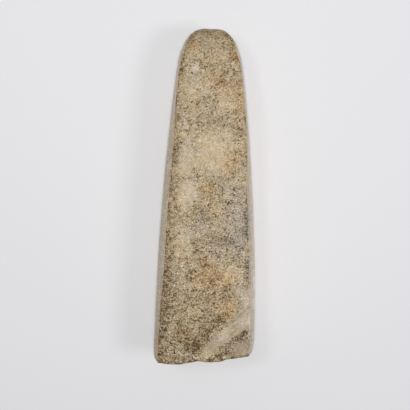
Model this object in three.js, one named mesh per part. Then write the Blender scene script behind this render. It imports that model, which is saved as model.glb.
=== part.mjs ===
// The blade of a ground stone adze. It lies on its flat back, as it does when loose, with its front
// face up. Millimetres: +Y runs from the broken cutting end to the butt, +X to the right and +Z up.
import * as THREE from "three";

// The blade as a whole
const bladeLength = 170; // from the furthest point of the cutting end to the tip of the butt
const bladeThickness = 30; // between the front and back faces
const edgeWidth = 51.1; // across the sides near the cutting end
const buttWidth = 28; // where the curves of the sides would reach the butt's tip

// The sides. Each has two facets, which meet at its widest line.
const widestLineShare = 0.57; // height of the widest line, as a share of the thickness
const backFacetRun = 5.5; // how far the lower facet slopes in on its way down to the back face
const endNarrowsOver = 32; // length over which a side's corner at the cutting end is worn narrower
// For each side: which way it lies, how far from the cutting end it is widest, how much narrower the
// end's corner is, and how far its upper facet slopes in. That run is given at distances from the
// butt's tip, and changes smoothly between them.
const leftSide = {
  way: -1,
  widestAt: 0,
  endNarrower: 0,
  frontRuns: [
    [22, 2.1],
    [66, 4.1],
    [120, 4.4],
    [144, 3.4],
    [166, 3.1],
  ],
};
const rightSide = {
  way: 1,
  widestAt: 14,
  endNarrower: 0.8,
  frontRuns: [
    [46, 1.7],
    [92, 4],
    [132, 4.1],
    [162, 3.1],
  ],
};

// The butt, drawn in to a blunt tip
const buttRoundLength = 25; // over which its outline is drawn in, seen from the front
const buttLengthPower = 2.9;
const buttWidthPower = 2.9;
const buttNoseLength = 12; // over which its thickness is drawn in, seen from the side
const buttNosePower = 2.1;
const buttTaperLength = 75; // over which both faces slope towards it
const buttFrontFall = 3;
const buttBackRise = 6;
const tipFlat = 0.1; // how far short of the full length the last, flat-topped section lies

// The cutting end. A bevel rises from the back face to the broken edge.
const bevelLength = 30;
const bevelHeelShare = 0.6; // 1 is a flat bevel, and less is a more rounded one
const brokenEdgeThickness = 12;
const frontDroop = 1.2; // how far the front face dips at the edge
const frontDroopLength = 32;
const breakUndercut = 1.2; // how far the foot of the break lies behind its brow
const breakHollow = 0.8;
const breakReach = 24; // how far up the blade the uneven end still shows in the sections

// The broken edge as seen from the front: share of the half width, and how far it is set back from
// the furthest point. Flakes have gone from the middle and, in one long scar behind a small step,
// from the right.
const brokenEdge = [
  [-1, 1.6],
  [-0.96, 0.9],
  [-0.84, 0.4],
  [-0.64, 0],
  [-0.46, 0.1],
  [-0.3, 0.9],
  [-0.12, 1.9],
  [0.02, 1.4],
  [0.17, 1.4],
  [0.34, 1.9],
  [0.43, 2.9],
  [0.65, 3.7],
  [0.86, 4.6],
  [0.92, 4.9],
  [0.95, 5.6],
  [0.97, 6.4],
  [1, 8.5],
];

// Wear on the ridges between facets: how far the rounding reaches on each side of a ridge
const frontArrisWear = 0.5;
const backArrisWear = 2.2;
const widestLineWear = 4.5;
const buttArrisWear = 7; // what the front and back ridges grow to at the butt's tip
const buttWearLength = 34;
const roundingLimit = 0.35; // a rounding reaches at most this share of the facet beside it
const ridgeClearance = 0.03; // as a share of the face's width

// Fineness of the surface
const cornerSteps = 4;
const bodySections = 26;
const buttSections = 18;
const breakSections = 14;
const breakRows = 5;
const breakCrowding = 1.3; // 1 is even, and more crowds the sections together
const noseCrowding = 2.5;

const { clamp, lerp, smoothstep } = THREE.MathUtils;
const widestLine = widestLineShare * bladeThickness;
const taperStart = bladeLength - buttTaperLength;

// Half the width on one side, before the butt is drawn in.
function halfWidth(side, y) {
  const fromWidest = (y - side.widestAt) / (bladeLength - side.widestAt);
  const nearEnd = clamp(1 - y / endNarrowsOver, 0, 1);
  const narrowing = ((edgeWidth - buttWidth) / 2) * fromWidest ** 2;
  return edgeWidth / 2 - narrowing - side.endNarrower * nearEnd ** 2;
}

// How far the widest line would stand out beyond its rounding, between facets of these slopes.
function wornFromWidest(frontSlope, backSlope) {
  const lean = Math.sin(Math.atan(frontSlope)) + Math.sin(Math.atan(backSlope));
  return (widestLineWear / 4) * lean;
}

// How far the upper facet of one side would slope in on its way up to the full thickness.
function frontFacetRun({ frontRuns }, y) {
  const fromTip = bladeLength - y;
  const passed = frontRuns.findLastIndex(([at]) => at <= fromTip);
  const next = clamp(passed + 1, 1, frontRuns.length - 1);
  const [from, runThere] = frontRuns[next - 1];
  const [to, runNext] = frontRuns[next];
  return lerp(runThere, runNext, smoothstep(fromTip, from, to));
}

// The share that is left of a size, this far from the butt's tip, where it is drawn in.
function drawnIn(fromTip, length, lengthPower, sizePower) {
  const within = clamp(1 - fromTip / length, 0, 1);
  return (1 - within ** lengthPower) ** (1 / sizePower);
}

function frontHeight(y) {
  const taper = clamp((y - taperStart) / buttTaperLength, 0, 1);
  const droop = clamp(1 - y / frontDroopLength, 0, 1);
  return bladeThickness - buttFrontFall * taper ** 2 - frontDroop * droop ** 2;
}

function backHeight(y) {
  const taper = clamp((y - taperStart) / buttTaperLength, 0, 1);
  const bevel = clamp(1 - y / bevelLength, 0, 1);
  const bevelRise = frontHeight(0) - brokenEdgeThickness;
  return buttBackRise * taper ** 2 + bevelRise * lerp(bevel ** 2, bevel, bevelHeelShare);
}

// The corners of the section on one side at y: on the front face, at the widest line and on the
// back face.
function sideCorners(side, y) {
  const front = frontHeight(y);
  const back = backHeight(y);
  const widest = Math.max(widestLine, lerp(back, front, 0.25));
  const frontSlope = frontFacetRun(side, y) / (bladeThickness - widestLine);
  const backSlope = backFacetRun / widestLine;
  const reach = halfWidth(side, y) + wornFromWidest(frontSlope, backSlope);
  const widestX = reach - frontSlope * (widest - widestLine);
  const corners = [
    [reach - frontSlope * (front - widestLine), front],
    [widestX, widest],
    [widestX - backSlope * (widest - back), back],
  ];
  const fromTip = bladeLength - y;
  const widthLeft = drawnIn(fromTip, buttRoundLength, buttLengthPower, buttWidthPower);
  const heightLeft = drawnIn(fromTip, buttNoseLength, 2, buttNosePower);
  const middle = (front + back) / 2;
  return corners.map(
    ([x, z]) => new THREE.Vector2(side.way * x * widthLeft, lerp(middle, z, heightLeft)),
  );
}

// Points of a curve that rounds off a corner, from its start to its end.
function roundedCorner(before, corner, after, wear) {
  const start = roundingEnd(corner, before, wear);
  const end = roundingEnd(corner, after, wear);
  return new THREE.QuadraticBezierCurve(start, corner, end).getPoints(cornerSteps);
}

function roundingEnd(corner, neighbour, wear) {
  const edge = neighbour.clone().sub(corner);
  return corner.clone().addScaledVector(edge, Math.min(wear / edge.length(), roundingLimit));
}

// Where the sections carry points across the front and back faces, as shares of the way from one
// rounded ridge to the other: one for each corner of the broken edge that lies clear of the ridges.
const [endFaceLeft, endFaceRight] = [leftSide, rightSide].map(
  (side) => sideCorners(side, 0)[0].x - side.way * frontArrisWear,
);
const faceColumns = brokenEdge
  .map(([share]) => (share * (edgeWidth / 2) - endFaceLeft) / (endFaceRight - endFaceLeft))
  .filter((share) => share > ridgeClearance && share < 1 - ridgeClearance);

// One row of points from the left widest line to the right one, over the front face or under the
// back face.
function sectionRow(left, right, face, wear) {
  const other = 2 - face;
  const middleStep = cornerSteps / 2;
  const leftWidest = roundedCorner(left[other], left[1], left[face], widestLineWear);
  const rightWidest = roundedCorner(right[face], right[1], right[other], widestLineWear);
  const leftRidge = roundedCorner(left[1], left[face], right[face], wear);
  const rightRidge = roundedCorner(left[face], right[face], right[1], wear);
  const columns = faceColumns.map((share) =>
    leftRidge.at(-1).clone().lerp(rightRidge[0], share),
  );
  return [
    ...leftWidest.slice(middleStep),
    ...leftRidge,
    ...columns,
    ...rightRidge,
    ...rightWidest.slice(0, middleStep + 1),
  ];
}

// How far a point of the end is set back, from its place across and its height.
function endSetBack(x, z) {
  const share = clamp(x / (edgeWidth / 2), -1, 1);
  const next = Math.max(1, brokenEdge.findIndex(([at]) => at >= share));
  const [fromShare, from] = brokenEdge[next - 1];
  const [toShare, to] = brokenEdge[next];
  const brow = frontHeight(0);
  const down = (brow - z) / (brow - backHeight(0));
  const atBrow = lerp(from, to, (share - fromShare) / (toShare - fromShare));
  return atBrow + breakUndercut * down;
}

// The section at y: its front and back rows as points in space, carried back near the uneven end.
function sectionAt(y) {
  const left = sideCorners(leftSide, y);
  const right = sideCorners(rightSide, y);
  const worn = clamp(1 - (bladeLength - y) / buttWearLength, 0, 1) ** 2;
  const frontWear = lerp(frontArrisWear, buttArrisWear, worn);
  const backWear = lerp(backArrisWear, buttArrisWear, worn);
  const carried = clamp(1 - y / breakReach, 0, 1) ** 2;
  const place = ({ x, y: z }) => new THREE.Vector3(x, y + carried * endSetBack(x, z), z);
  return {
    front: sectionRow(left, right, 0, frontWear).map(place),
    back: sectionRow(left, right, 2, backWear).map(place),
  };
}

// Distances from the cutting end at which sections are taken: close together at the break and, most
// of all, on the butt's nose.
function sectionPlaces() {
  const roundStart = bladeLength - buttRoundLength;
  const lastPlace = bladeLength - tipFlat;
  const steps = (count) => Array.from({ length: count }, (_, i) => i / count);
  return [
    ...steps(breakSections).map((t) => bevelLength * t ** breakCrowding),
    ...steps(bodySections).map((t) => lerp(bevelLength, roundStart, t)),
    ...steps(buttSections).map((t) => lerp(lastPlace, roundStart, (1 - t) ** noseCrowding)),
    lastPlace,
  ];
}

// Collects points and triangles, with each point held once.
function surfaceMaker() {
  const positions = [];
  const triangles = [];
  return {
    point: (p) => positions.push(p.x, p.y, p.z) / 3 - 1,
    patch(a, b, c, d) {
      [[a, b, c], [a, c, d]]
        .filter((corners) => new Set(corners).size === 3)
        .forEach((corners) => triangles.push(...corners));
    },
    geometry() {
      const made = new THREE.BufferGeometry();
      made.setAttribute("position", new THREE.Float32BufferAttribute(positions, 3));
      made.setIndex(triangles);
      return made;
    },
  };
}

// Rows of point numbers that fill a section, from its front row to its back row.
function fillRows(surface, section, ring, rowCount, hollow) {
  const last = section.front.length - 1;
  const inside = Array.from({ length: rowCount - 1 }, (_, r) => {
    const down = (r + 1) / rowCount;
    return section.front.map((p, k) => {
      if (k === 0 || k === last) return ring.front[k];
      const across = Math.sin((Math.PI * k) / last);
      const filled = p.clone().lerp(section.back[k], down);
      filled.y += hollow * Math.sin(Math.PI * down) * across;
      return surface.point(filled);
    });
  });
  return [ring.front, ...inside, ring.back];
}

function bladeGeometry() {
  const surface = surfaceMaker();
  const sections = sectionPlaces().map(sectionAt);
  const rings = sections.map(({ front, back }) => {
    const top = front.map(surface.point);
    const last = back.length - 1;
    const bottom = back.map((p, k) => (k === 0 || k === last ? top[k] : surface.point(p)));
    return { front: top, back: bottom };
  });
  const columns = rings[0].front.length - 1;
  for (let j = 0; j + 1 < rings.length; j++) {
    const near = rings[j];
    const far = rings[j + 1];
    for (let k = 0; k < columns; k++) {
      surface.patch(near.front[k], near.front[k + 1], far.front[k + 1], far.front[k]);
      surface.patch(near.back[k], far.back[k], far.back[k + 1], near.back[k + 1]);
    }
  }
  const rows = fillRows(surface, sections[0], rings[0], breakRows, breakHollow);
  const tip = rings.at(-1);
  for (let k = 0; k < columns; k++) {
    for (let r = 0; r < breakRows; r++)
      surface.patch(rows[r][k], rows[r + 1][k], rows[r + 1][k + 1], rows[r][k + 1]);
    surface.patch(tip.front[k], tip.front[k + 1], tip.back[k + 1], tip.back[k]);
  }
  return surface.geometry();
}

// The origin is on the surface that the blade lies on, under the middle of its outline.
function adzeBlade() {
  const geometry = bladeGeometry();
  geometry.computeBoundingBox();
  const { min, max } = geometry.boundingBox;
  const stone = new THREE.MeshStandardMaterial({ color: "#aa997d", roughness: 0.6, metalness: 0 });
  const blade = new THREE.Mesh(geometry, stone);
  blade.name = "adze_blade";
  blade.position.set(-(min.x + max.x) / 2, -(min.y + max.y) / 2, -min.z);
  return blade;
}

const adze = new THREE.Group();
adze.add(adzeBlade());

export default adze;
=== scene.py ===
"""A ground stone adze blade with a broken cutting end, lying on a pale table and seen from above."""
import math

import bpy
import numpy as np
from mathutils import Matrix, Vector, kdtree, noise


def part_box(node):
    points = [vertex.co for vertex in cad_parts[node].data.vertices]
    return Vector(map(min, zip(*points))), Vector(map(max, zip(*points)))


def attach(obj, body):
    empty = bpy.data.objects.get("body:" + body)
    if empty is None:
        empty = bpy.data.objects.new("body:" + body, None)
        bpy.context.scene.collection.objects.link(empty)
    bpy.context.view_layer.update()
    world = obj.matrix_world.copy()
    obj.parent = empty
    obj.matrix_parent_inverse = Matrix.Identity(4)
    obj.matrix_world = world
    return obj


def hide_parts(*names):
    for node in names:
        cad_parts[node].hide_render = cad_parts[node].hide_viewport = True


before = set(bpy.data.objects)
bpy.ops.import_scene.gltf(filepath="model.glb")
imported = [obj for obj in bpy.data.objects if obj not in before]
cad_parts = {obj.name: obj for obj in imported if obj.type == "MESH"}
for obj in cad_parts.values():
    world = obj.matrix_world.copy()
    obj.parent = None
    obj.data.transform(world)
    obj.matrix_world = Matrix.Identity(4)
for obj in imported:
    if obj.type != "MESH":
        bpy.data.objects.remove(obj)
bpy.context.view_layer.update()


# The table top and the light. The table is plain pale card. Most of the light comes from a lamp
# above, and a weaker one on each side throws the faint shadow on the other side.
def srgb(red, green, blue):
    """A colour given as it looks on a screen, 0 to 255, as the linear values that a shader takes."""
    shares = (value / 255 for value in (red, green, blue))
    linear = [s / 12.92 if s <= 0.04045 else ((s + 0.055) / 1.055) ** 2.4 for s in shares]
    return (*linear, 1.0)


table_size = 6.0
card_colour = srgb(231, 230, 231)
room_colour = srgb(240, 246, 255)
room_brightness = 0.20

bpy.ops.object.select_all(action="DESELECT")
bpy.ops.mesh.primitive_plane_add(size=table_size)
table = bpy.context.object
table.name = "table_top"
card = bpy.data.materials.new("pale_card")
card.use_nodes = True
card_shader = card.node_tree.nodes["Principled BSDF"]
card_shader.inputs["Base Color"].default_value = card_colour
card_shader.inputs["Roughness"].default_value = 0.85
card_shader.inputs["Specular IOR Level"].default_value = 0.3
table.data.materials.append(card)

room = bpy.data.worlds.new("even_room_light")
room.use_nodes = True
room_light = room.node_tree.nodes["Background"]
room_light.inputs["Color"].default_value = room_colour
room_light.inputs["Strength"].default_value = room_brightness
bpy.context.scene.world = room
bpy.context.scene.view_settings.view_transform = "Standard"


def soft_lamp(name, place, size, power, aim=(0, 0, 0)):
    """A square lamp with a soft front, turned towards the blade."""
    bpy.ops.object.light_add(type="AREA", location=place)
    lamp = bpy.context.object
    lamp.name = name
    lamp.data.size = size
    lamp.data.energy = power
    lamp.rotation_euler = (Vector(aim) - Vector(place)).to_track_quat("-Z", "Y").to_euler()
    return lamp


soft_lamp("lamp_above", place=(0.0, -0.02, 0.95), size=0.12, power=6.9, aim=(0, 0.83, 0))
soft_lamp("lamp_on_the_right", place=(0.75, -0.18, 1.0), size=0.35, power=2.55)
soft_lamp("lamp_on_the_left", place=(-0.36, 0.12, 1.0), size=0.20, power=1.05)

# The view: a long lens straight above the blade, turned a little so that the butt leans to the right.
def mm(length):
    """A length in millimetres, as the metres that the scene is built in."""
    return length / 1000


lens = 100
camera_height = mm(597)
camera_over = (mm(-0.85), mm(-4.82))
camera_turn = math.radians(1.1)
nearest_seen = mm(20)

bpy.ops.object.camera_add(location=(*camera_over, camera_height), rotation=(0, 0, camera_turn))
camera = bpy.context.object
camera.data.lens = lens
camera.data.clip_start = nearest_seen
bpy.context.scene.camera = camera


# The blade: one piece of grey-brown speckled stone, ground to flat faces with worn ridges between
# them. Its butt was hammered round, and its cutting end is broken off. It is shaped from the solid,
# then worn and roughened.
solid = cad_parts["adze_blade"]
grain_of_mesh = mm(0.56)
welded_within = mm(0.005)

blade = bpy.data.objects.new("ground_stone_blade", solid.data.copy())
bpy.context.collection.objects.link(blade)


def work_on(piece):
    """Makes this the one selected and active piece."""
    bpy.ops.object.select_all(action="DESELECT")
    piece.select_set(True)
    bpy.context.view_layer.objects.active = piece


def finish_with(piece, kind, **settings):
    """Adds a modifier with these settings and applies it."""
    work_on(piece)
    modifier = piece.modifiers.new(kind.lower(), kind)
    for name, value in settings.items():
        setattr(modifier, name, value)
    bpy.ops.object.modifier_apply(modifier=modifier.name)


work_on(blade)
bpy.ops.object.mode_set(mode="EDIT")
bpy.ops.mesh.select_all(action="SELECT")
bpy.ops.mesh.remove_doubles(threshold=welded_within)
bpy.ops.object.mode_set(mode="OBJECT")

form = bpy.data.objects.new("ground_form", blade.data.copy())
bpy.context.collection.objects.link(form)
finish_with(blade, "REMESH", mode="VOXEL", voxel_size=grain_of_mesh)
finish_with(blade, "SHRINKWRAP", target=form, wrap_method="NEAREST_SURFACEPOINT")
bpy.data.objects.remove(form)

# What each point of the surface is: its place, the way it faces, and how far the ridges, the butt's
# tip and the break are from it.
low, high = (Vector(corner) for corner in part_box("adze_blade"))
places = np.empty(len(blade.data.vertices) * 3)
blade.data.vertices.foreach_get("co", places)
places = places.reshape(-1, 3)
facing = np.empty(len(blade.data.vertices) * 3)
blade.data.vertex_normals.foreach_get("vector", facing)
facing = facing.reshape(-1, 3)


def ramp(values, start, end):
    """0 at the start, 1 at the end and smooth between them, in either direction."""
    share = np.clip((values - start) / (end - start), 0, 1)
    return share * share * (3 - 2 * share)


def keep_on_mesh(name, values):
    """Stores a value for each point on the mesh, where the material reads it by this name."""
    kept = blade.data.attributes.new(name, "FLOAT", "POINT")
    kept.data.foreach_set("value", values.astype(np.float32))


def group_of(name, weights):
    """A vertex group with a weight for each point, in steps of one per cent."""
    group = blade.vertex_groups.new(name=name)
    steps = np.round(weights * 100).astype(int)
    for step in range(1, 101):
        chosen = np.nonzero(steps == step)[0]
        group.add([int(i) for i in chosen], step / 100, "REPLACE")


def distance_from(chosen):
    """How far each point of the blade lies from the nearest of the chosen ones."""
    tree = kdtree.KDTree(len(chosen))
    for number, place in enumerate(chosen):
        tree.insert(place, number)
    tree.balance()
    return np.array([tree.find(place)[2] for place in places])


sideways, lengthways, upwards = facing.T
from_tip = high.y - places[:, 1]
from_edge = places[:, 1] - low.y
on_a_ridge = (upwards > 0.45) & (upwards < 0.92) & (abs(sideways) > 0.3) & (from_edge > mm(3))
from_left_ridge = distance_from(places[on_a_ridge & (places[:, 0] < 0)])
from_right_ridge = distance_from(places[on_a_ridge & (places[:, 0] > 0)])
broken = ramp(-lengthways, 0.70, 0.88) * ramp(from_edge, mm(14), mm(12))
from_break = distance_from(places[broken > 0.5])
hammered = ramp(from_tip, mm(34), mm(6))


# The marks in the stone. Each is a soft, ragged oval: where its middle lies, in millimetres from the
# middle of the blade, to the right and towards the butt, how far it reaches both ways, how it is
# turned in degrees, and what it adds to tone, warmth and dark grains.
to_mm = 1000
marks_seen = [
    # the butt: a brown cheek, rust spots on the right and a cream streak
    ((-8, 73), (5, 4), 0, (0.05, 0.10, -0.12)),
    ((11.5, 69), (3.5, 2.5), 0, (-0.04, 0.50, 0.05)),
    ((3, 68), (6, 5), 0, (0, 0.20, 0)),
    ((5.5, 57), (4, 2.8), -20, (-0.02, 0.40, 0.10)),
    ((15, 57), (3, 4), -12, (-0.06, 0.20, 0.14)),
    ((15, 47), (3, 9), 0, (-0.02, 0.42, -0.02)),
    ((-6.5, 63), (1.8, 2.6), -30, (0.18, -0.20, -0.20)),
    ((-7, 55), (8, 9), 0, (0.10, -0.12, -0.16)),
    ((9.5, 48), (4.5, 8), 0, (0.09, 0.12, -0.14)),
    ((-9, 44), (4, 4), 0, (0.03, 0.28, -0.03)),
    ((-16, 51), (4, 9), 8, (0.04, -0.15, -0.14)),
    # the upper half: a thickly speckled band, and pale clouds below it
    ((3, 38.5), (10, 3.5), 10, (-0.03, -0.18, 0.16)),
    ((-13, 38), (5, 5), 0, (0.03, -0.15, 0.02)),
    ((-14, 32), (5, 5), 0, (0.09, -0.05, -0.08)),
    ((2, 27), (12.5, 8), 0, (0.11, 0.02, -0.22)),
    ((2, 18), (11, 8), -10, (0.13, -0.02, -0.24)),
    ((-10.5, 17), (4.5, 12), 4, (0.14, -0.22, -0.26)),
    ((8, 14), (7, 4), 0, (0.04, 0.24, -0.04)),
    ((15.5, 19), (3.5, 5), 0, (-0.02, 0.25, 0)),
    ((15, 8), (4, 4), 0, (0.08, 0, -0.10)),
    ((-14, 26), (4, 4), 0, (-0.02, -0.05, 0.16)),
    ((15.5, 31), (3, 3), 0, (-0.04, -0.10, 0.08)),
    ((10, 32), (3, 3), 0, (0.07, 0, -0.10)),
    ((-9.5, 8.5), (3, 2.5), 0, (-0.06, 0, 0.08)),
    # the middle: a large pale patch on the left, and greyer stone to the right and below
    ((-9.5, 0.5), (5.5, 8), -8, (0.15, -0.08, -0.30)),
    ((5, 6), (6, 5), 0, (-0.07, 0, 0.06)),
    ((0, 4), (4, 6), 0, (-0.01, 0.50, 0.02)),
    ((12, 2), (8, 5), 0, (0.04, -0.28, -0.02)),
    ((15, -8), (8, 13), 0, (0.03, -0.50, -0.05)),
    ((10, -4), (4, 3), 0, (-0.04, -0.05, 0.18)),
    ((-1, -10.5), (6, 4), 0, (-0.09, -0.30, 0.20)),
    ((-3, -16), (9, 5), 0, (0.03, -0.25, -0.04)),
    ((6, -23), (13, 4.5), -4, (-0.07, -0.20, 0.10)),
    ((10, -16), (4, 3), 0, (0.06, 0, -0.08)),
    ((15, -24), (7, 8), 0, (0, -0.60, 0.02)),
    ((-11, -23), (5, 8), -14, (0.11, -0.08, -0.22)),
    ((-4.5, -28.5), (3, 3), 0, (-0.06, 0.03, 0.16)),
    ((0, -34), (4, 3), 0, (-0.05, 0.40, 0.08)),
    ((20.5, -10), (2.8, 10), 0, (-0.15, -0.45, 0.20)),
    ((20, -18), (3, 4), 0, (-0.16, -0.45, 0.14)),
    ((19.5, -29), (2.5, 3.5), 0, (0.09, -0.10, -0.12)),
    ((-4.5, -22), (2.5, 3), 0, (0.08, 0, -0.08)),
    ((20.5, -37), (2.5, 8), 0, (-0.14, -0.60, 0.32)),
    # towards the cutting end: darker, with rust clouds and a smooth grey border on the right
    ((-5, -72), (32, 36), 0, (-0.06, -0.08, 0.10)),
    ((4, -42), (11, 7), -8, (0.01, 0.50, -0.01)),
    ((13, -38.5), (5, 5), -20, (0.12, 0, -0.22)),
    ((11.5, -56.5), (5.5, 6), 20, (0.08, 0.50, -0.14)),
    ((7, -51), (6, 4), 0, (-0.03, 0.08, 0.06)),
    ((-9, -46), (5, 6), 0, (0.03, 0.20, -0.04)),
    ((-19, -50), (4.5, 19), 0, (-0.07, 0, 0.17)),
    ((-21.5, -52), (2.2, 5), 0, (0.07, 0, -0.10)),
    ((-19.5, -58.5), (3, 3.5), 0, (-0.07, 0, 0.10)),
    ((-4, -57.5), (6, 3.5), 35, (0.09, 0.05, -0.20)),
    ((-5, -46), (3.5, 4), 0, (0.07, 0.15, -0.05)),
    ((-9, -38), (7, 5), 0, (-0.03, 0, 0.12)),
    ((-10, -59), (3, 3), 0, (0, 0.10, 0.16)),
    ((-11, -69), (6, 5), 0, (-0.02, 0.30, 0.08)),
    ((19.5, -51), (4, 9), 0, (0.05, -0.30, -0.28)),
    # at the broken edge: a dark slanting band, a pale vein beside it and dark spots beyond
    ((3.5, -65), (13, 3.6), 40, (-0.14, 0.02, 0.36)),
    ((-5, -76), (5.5, 4), 30, (-0.15, 0.02, 0.34)),
    ((10.5, -69.5), (21, 3.7), 41, (0.15, -0.32, -0.70)),
    ((19.5, -62), (5, 7), 0, (0.05, -0.40, -0.55)),
    ((5, -74.5), (4, 3.5), 0, (-0.06, 0, 0)),
    ((20, -69.5), (4.5, 2.2), 30, (-0.07, -0.65, 0.55)),
    ((13.5, -73.5), (4.5, 1.6), 35, (-0.12, -0.15, 0.40)),
    ((9.5, -79), (4, 1.8), 30, (-0.12, -0.10, 0.40)),
    ((18.5, -76.5), (7.5, 4.5), 25, (0.00, -0.30, -0.50)),
    # the right side beside the smooth border, paler there as a painted reflection on its polished face,
    # and the left side by the break
    ((24, -52), (5, 6), 0, (0.16, 0.05, -0.10)),
    ((-25.5, -74), (4, 14), 0, (0, 0.25, 0.08)),
]
mark_depth = 40.0
mark_fades_at, mark_full_at = 1.25, 0.35
ragged_size = 6.0
raggedness = 0.3
# The ragged noises come out the same in each run
noise_seed = 3
noise.seed_set(noise_seed)


def soft_noise(size, shift=0.0, longer=1.0):
    """For each point, three noises of about this size in millimetres, and this much longer along."""
    finer_noises = 3
    sizes = np.array((size, size * longer, size))
    at = places * to_mm / sizes + shift
    return np.array([noise.turbulence_vector(Vector(place), finer_noises, False) for place in at])


wander = soft_noise(ragged_size) * raggedness
right, along, above = (places * to_mm).T
below = (high.z * to_mm - above) / mark_depth
sums = np.zeros((len(places), 3))
for (mark_right, mark_along), (reach_x, reach_y), turn, adds in marks_seen:
    cosine, sine = math.cos(math.radians(turn)), math.sin(math.radians(turn))
    off_right, off_along = right - mark_right, along - mark_along
    across = (off_right * cosine + off_along * sine) / reach_x + wander[:, 0]
    up = (off_along * cosine - off_right * sine) / reach_y + wander[:, 1]
    from_middle = np.sqrt(across**2 + up**2 + below**2)
    sums += ramp(from_middle, mark_fades_at, mark_full_at)[:, None] * adds
tone, warmth, dark_grains = sums.T

# The vein near the break is drawn out in faint streaks along its length. Here and below, right,
# along and above are in millimetres, and the distances from the ridges and the break are in metres.
vein_turn = math.radians(41)
vein_off_middle = 59.3
streak_length, streak_width = 7.0, 0.8
down_the_vein = right * math.cos(vein_turn) + along * math.sin(vein_turn)
off_the_vein = along * math.cos(vein_turn) - right * math.sin(vein_turn) + vein_off_middle
streak_sizes = (streak_length, streak_width, streak_length)
streak_places = np.stack([down_the_vein, off_the_vein, above], axis=1) / streak_sizes
streaks = np.array([noise.noise(Vector(place)) for place in streak_places])
streaks *= ramp(abs(off_the_vein), 8, 4) * ramp(down_the_vein, -60, -52)
tone = tone + 0.16 * streaks
dark_grains = dark_grains - 0.30 * streaks

# The polished sides begin unevenly along the ridges. They are paler than the front, a painted
# reflection of the pale table, the right one most of all on its outer half, and the left one has a
# painted highlight beside its ridge.
# The left one is browner by the break.
uneven = soft_noise(1.6, shift=91.0, longer=3.0)[:, 0]
side = ramp(abs(sideways) + 0.30 * uneven, 0.48, 0.90)
left_side = side * ramp(-right, 0, 5)
right_side = side * ramp(right, 0, 5)
brightest_reflection_stretch = 0.9 * ramp(along, 38, 24) * ramp(along, -59, -55) + 0.5 * ramp(along, -66, -70)
# Painted reflection of the pale table on the outer half of the right side.
painted_right_reflection = right_side * ramp(above, 29, 19) * (1 + brightest_reflection_stretch)
# Painted highlight on the left side beside its ridge.
painted_left_ridge_highlight = left_side * ramp(above, 22, 28) * ramp(along, 28, 12) * ramp(along, -48, -38)
browned = left_side * ramp(along, -56, -72)

# Dirt has gathered along both front ridges, most of all on the left, and the stone beside the left one
# is darker.
# The brow of the break is darker too, as painted shade where the surface turns down into the break.
in_places = ramp(soft_noise(11.0, shift=31.0)[:, 0], -0.05, 0.2)
left_dirt = ramp(from_left_ridge, mm(3.0), mm(0.2))
right_dirt = ramp(from_right_ridge, mm(2.0), mm(0.2)) * in_places * ramp(along, -50, -20)
dirt = np.maximum(left_dirt, right_dirt) * (1 - side)
beside_left = ramp(from_left_ridge, mm(6.5), mm(0.5)) * (1 - side) * (1 - hammered)
painted_brow_shade = ramp(from_break, mm(2.2), mm(0.6)) * (1 - side)

# By the cutting end the polished right ridge has a thin pale line of painted highlight, and the side
# below it has two small painted glints near its widest line.
# Where the two painted glints lie along the right side.
glint_ends = ((-47.0, -40.0), (-57.0, -51.5))
painted_ridge_highlight = ramp(from_right_ridge, mm(1.0), mm(0.2)) * ramp(along, -54, -64) * ramp(along, -73, -68)
side_glints = np.zeros(len(places))
for start, end in glint_ends:
    side_glints += ramp(along, start - 2, start + 2) * ramp(along, end + 2, end - 2)
side_glints *= 0.5 + 0.5 * ramp(soft_noise(1.0, shift=71.0, longer=4.0)[:, 1], -0.40, 0.1)
side_glints *= ramp(above, 18.0, 19.8) * ramp(above, 23.5, 20.5) * ramp(right, 20, 22)

# What all these add to the marks. The marks show only weakly on the polished sides, where the painted
# reflection pales them.
tone = tone * (1 - 0.6 * side) + 0.15 * side
# Painted reflection on the right side and painted highlights along the ridges.
tone += 0.15 * painted_right_reflection + 0.20 * painted_ridge_highlight + 0.06 * painted_left_ridge_highlight
# Among these, painted shade on the brow of the break.
tone -= 0.06 * dirt + 0.09 * beside_left + 0.14 * browned + 0.14 * painted_brow_shade
keep_on_mesh("tone", tone)
keep_on_mesh("warmth", warmth + 0.14 * dirt + 0.35 * browned)
keep_on_mesh("dark_grains", dark_grains + 0.16 * dirt)
keep_on_mesh("broken", broken)
keep_on_mesh("side", side)
keep_on_mesh("painted_side_glints", side_glints)


# The surface's own relief. The wear takes stone away everywhere but at a few single points, which rise
# by less than 0.1 mm, and the blade stays inside its solid's box.
def wear_down(name, kind, size, depth, where=None, highest=0.84, **settings):
    """Sinks the surface by a bumpy pattern of this size and depth, all but its highest points."""
    pattern = bpy.data.textures.new(name, kind)
    pattern.noise_scale = size
    for key, value in settings.items():
        setattr(pattern, key, value)
    finish_with(
        blade, "DISPLACE", texture=pattern, strength=depth, mid_level=highest, vertex_group=where or "",
    )


group_of("on_break", broken * ramp(places[:, 2], high.z, high.z - mm(5)))
group_of("on_butt", hammered)
group_of("on_ridges", np.exp(-np.minimum(from_left_ridge, from_right_ridge) / mm(1.0)))
wear_down("ground_by_hand", "CLOUDS", mm(16), mm(0.24), noise_depth=1)
wear_down("hammer_marks", "CLOUDS", mm(2.2), mm(0.28), where="on_butt", noise_depth=1, contrast=1.6)
wear_down("nibbled_ridges", "CLOUDS", mm(1.8), mm(0.34), where="on_ridges", noise_depth=1, contrast=1.8)
wear_down("break_steps", "VORONOI", mm(4.5), mm(1.3), where="on_break")
wear_down("break_grains", "CLOUDS", mm(1.2), mm(0.7), where="on_break", noise_depth=2, contrast=1.6)

work_on(blade)
bpy.ops.object.shade_smooth()
blade.data.materials.clear()


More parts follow.
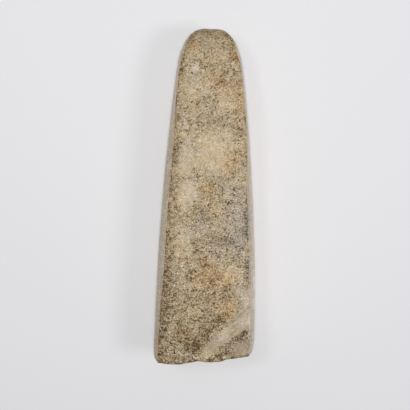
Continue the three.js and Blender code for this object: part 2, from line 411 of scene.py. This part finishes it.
# The stone: pale feldspar with dark grains, clouded with rust and grey, and glossier where it is
# ground smooth. Its tone, its warmth and how thickly its dark grains lie come from the marks above.
def add(tree, kind, settings=None, **inputs):
    """Adds a node. An input's value is a number, a vector, a colour or another node's output."""
    made = tree.nodes.new(kind)
    for name, value in (settings or {}).items():
        setattr(made, name, value)
    for name, value in inputs.items():
        feed(tree, made.inputs[name.replace("_", " ")], value)
    return made


def feed(tree, socket, value):
    if isinstance(value, bpy.types.NodeSocket):
        tree.links.new(value, socket)
    else:
        socket.default_value = value


def sum_of(tree, operation, *values):
    """The result of a Math node."""
    made = tree.nodes.new("ShaderNodeMath")
    made.operation = operation
    for number, value in enumerate(values):
        feed(tree, made.inputs[number], value)
    return made.outputs[0]


def vector_of(tree, operation, *values, scale=None):
    """The resulting vector of a Vector Math node."""
    made = tree.nodes.new("ShaderNodeVectorMath")
    made.operation = operation
    for number, value in enumerate(values):
        feed(tree, made.inputs[number], value)
    if scale is not None:
        feed(tree, made.inputs["Scale"], scale)
    return made.outputs["Vector"]


def fade(tree, value, start, end):
    """0 at the start, 1 at the end and smooth between them."""
    made = add(tree, "ShaderNodeMapRange", {"interpolation_type": "SMOOTHSTEP"})
    for name, given in {"Value": value, "From Min": start, "From Max": end}.items():
        feed(tree, made.inputs[name], given)
    return made.outputs["Result"]


def shared_effect(name, takes, gives):
    """A node group with these named inputs and outputs, and its two end nodes."""
    group = bpy.data.node_groups.new(name, "ShaderNodeTree")
    for socket, (kind, value) in takes.items():
        made = group.interface.new_socket(socket, in_out="INPUT", socket_type="NodeSocket" + kind)
        if value is not None:
            made.default_value = value
    for socket, kind in gives.items():
        group.interface.new_socket(socket, in_out="OUTPUT", socket_type="NodeSocket" + kind)
    return group, group.nodes.new("NodeGroupInput").outputs, group.nodes.new("NodeGroupOutput").inputs


# Grains of one mineral: rounded islands of about one size, which fill a share of the stone.
grains, given, result = shared_effect(
    "mineral_grains",
    {
        "Place": ("Vector", None),
        "Size": ("Float", 1.0),
        "Share": ("Float", 0.2),
        "Softness": ("Float", 0.25),
        "Shift": ("Float", 0.0),
    },
    {"Grains": "Float"},
)
cells_in_a_mm = sum_of(grains, "DIVIDE", 1.0, given["Size"])
cells_place = vector_of(grains, "SCALE", given["Place"], scale=cells_in_a_mm)
cells_place = vector_of(grains, "ADD", cells_place, given["Shift"])
bend = add(grains, "ShaderNodeTexNoise", Vector=cells_place, Scale=1.7, Detail=1.0)
bend_by = vector_of(grains, "SUBTRACT", bend.outputs["Color"], (0.5, 0.5, 0.5))
cells_place = vector_of(grains, "MULTIPLY_ADD", bend_by, (0.9, 0.9, 0.9), cells_place)
cells = add(grains, "ShaderNodeTexVoronoi", Vector=cells_place, Scale=1.0)
lot = add(grains, "ShaderNodeSeparateColor", Color=cells.outputs["Color"]).outputs["Red"]
drawn = fade(grains, sum_of(grains, "SUBTRACT", given["Share"], lot), 0.0, 0.03)
inner = sum_of(grains, "SUBTRACT", 0.55, given["Softness"])
island = fade(grains, cells.outputs["Distance"], 0.62, inner)
feed(grains, result["Grains"], sum_of(grains, "MULTIPLY", drawn, island))

stone = bpy.data.materials.new("speckled_stone")
stone.use_nodes = True
tree = stone.node_tree
shader = tree.nodes["Principled BSDF"]
shader.inputs["Specular IOR Level"].default_value = 0.4

coordinates = add(tree, "ShaderNodeTexCoord").outputs["Object"]
place = vector_of(tree, "SCALE", coordinates, scale=to_mm)


def cloud(size, detail=2.0, shift=0.0):
    """Soft noise with clouds of about this size, centred on nought."""
    moved = vector_of(tree, "ADD", place, (shift, shift * 0.7, -shift))
    made = add(tree, "ShaderNodeTexNoise", Vector=moved, Scale=1 / size, Detail=detail)
    return sum_of(tree, "SUBTRACT", made.outputs["Fac"], 0.5)


def share_of(name):
    return add(tree, "ShaderNodeAttribute", {"attribute_name": name}).outputs["Fac"]


# The body of the stone: broad clouds, then mottling, then its fine grit. Where dark grains are
# scarce, the rest is calmer too, and all of it is livelier towards the cutting end.
towards_butt = add(tree, "ShaderNodeSeparateXYZ", Vector=place).outputs["Y"]
livelier = sum_of(tree, "MULTIPLY_ADD", fade(tree, towards_butt, 85.0, -75.0), 0.28, 0.84)
calm = sum_of(tree, "MULTIPLY_ADD", fade(tree, share_of("dark_grains"), 0.0, -0.45), -0.55, 1.0)
liveliness = sum_of(tree, "MULTIPLY", livelier, calm)
clouds = sum_of(tree, "MULTIPLY", cloud(9.0), 0.22)
mottling = sum_of(tree, "MULTIPLY", cloud(2.6, shift=7.0), 0.45)
grit = sum_of(tree, "MULTIPLY", cloud(0.75, detail=1.0, shift=3.0), 1.18)
finer = sum_of(tree, "MULTIPLY", sum_of(tree, "ADD", mottling, grit), liveliness)
body = sum_of(tree, "ADD", clouds, finer)
warmth = share_of("warmth")
on_side = share_of("side")


def grains_of(size, share, softness, shift):
    made = add(
        tree,
        "ShaderNodeGroup",
        {"node_tree": grains},
        Place=place,
        Size=size,
        Share=share,
        Softness=softness,
        Shift=shift,
    )
    return made.outputs["Grains"]


# The dark grains gather in clusters. The single bright grains are painted glints, rare, but less so by
# the cutting end.
thickly = sum_of(tree, "MULTIPLY_ADD", cloud(3.2, shift=17.0), 2.3, share_of("dark_grains"))
dark_small = grains_of(0.85, sum_of(tree, "ADD", thickly, 0.30), 0.35, 0.0)
dark_large = grains_of(1.5, sum_of(tree, "MULTIPLY_ADD", thickly, 0.9, 0.12), 0.35, 40.0)
pale = grains_of(1.0, 0.12, 0.30, 80.0)
glint_grain_share = sum_of(tree, "MULTIPLY_ADD", fade(tree, towards_butt, 80.0, -75.0), 0.022, 0.010)
glint_grains = grains_of(0.9, glint_grain_share, 0.20, 160.0)
rusty = grains_of(1.7, sum_of(tree, "MULTIPLY_ADD", warmth, 0.25, 0.06), 0.40, 120.0)

# How light and how warm each spot is.
plain_light = 0.605
# The dark grains show less on the polished sides, under their painted reflection.
grain_depth = sum_of(tree, "MULTIPLY_ADD", on_side, -0.6, liveliness)
light = sum_of(tree, "ADD", sum_of(tree, "ADD", share_of("tone"), body), plain_light)
light = sum_of(tree, "MULTIPLY_ADD", pale, 0.16, light)
darkening = sum_of(tree, "MULTIPLY_ADD", dark_small, 0.45, sum_of(tree, "MULTIPLY", dark_large, 0.36))
light = sum_of(tree, "SUBTRACT", light, sum_of(tree, "MULTIPLY", darkening, grain_depth))
# Painted glints in single bright grains.
light = sum_of(tree, "MULTIPLY_ADD", glint_grains, 0.24, light)
warm = sum_of(tree, "MULTIPLY_ADD", cloud(12.0, shift=51.0), 1.05, warmth)
warm = sum_of(tree, "MULTIPLY_ADD", cloud(3.5, shift=61.0), 0.95, warm)
warm = sum_of(tree, "MULTIPLY_ADD", rusty, 0.25, warm)

rust_tint = (1.0, 0.76, 0.42, 1.0)
grey_tint = (0.86, 0.95, 1.25, 1.0)
# The near-white of the painted glints on the right side.
glint_colour = srgb(248, 243, 236)
colours = add(tree, "ShaderNodeValToRGB", Fac=light)
darkest, palest = colours.color_ramp.elements
darkest.color = srgb(66, 44, 6)
palest.color = srgb(222, 204, 176)
for position, colour in {0.25: (105, 83, 46), 0.5: (150, 130, 97), 0.75: (190, 170, 138)}.items():
    colours.color_ramp.elements.new(position).color = srgb(*colour)
towards_rust = add(tree, "ShaderNodeMix", {"data_type": "RGBA", "blend_type": "MULTIPLY"})
feed(tree, towards_rust.inputs["Factor"], warm)
feed(tree, towards_rust.inputs["A"], colours.outputs["Color"])
feed(tree, towards_rust.inputs["B"], rust_tint)
towards_grey = add(tree, "ShaderNodeMix", {"data_type": "RGBA", "blend_type": "MULTIPLY"})
feed(tree, towards_grey.inputs["Factor"], sum_of(tree, "MULTIPLY", warm, -1.0))
feed(tree, towards_grey.inputs["A"], towards_rust.outputs["Result"])
feed(tree, towards_grey.inputs["B"], grey_tint)
# Painted glints on the right side, mixed in as near-white.
painted_side_glints = add(tree, "ShaderNodeMix", {"data_type": "RGBA"})
feed(tree, painted_side_glints.inputs["Factor"], share_of("painted_side_glints"))
feed(tree, painted_side_glints.inputs["A"], towards_grey.outputs["Result"])
feed(tree, painted_side_glints.inputs["B"], glint_colour)
feed(tree, shader.inputs["Base Color"], painted_side_glints.outputs["Result"])

gloss = sum_of(tree, "MULTIPLY_ADD", on_side, -0.32, 0.62)
gloss = sum_of(tree, "MULTIPLY_ADD", share_of("broken"), 0.25, gloss)
feed(tree, shader.inputs["Roughness"], gloss)

height = sum_of(tree, "MULTIPLY_ADD", dark_small, -0.5, cloud(0.5, shift=9.0))
bump = add(tree, "ShaderNodeBump", Height=height, Strength=0.35, Distance=mm(0.12))
feed(tree, shader.inputs["Normal"], bump.outputs["Normal"])

blade.data.materials.append(stone)
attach(blade, "root")
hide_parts("adze_blade")
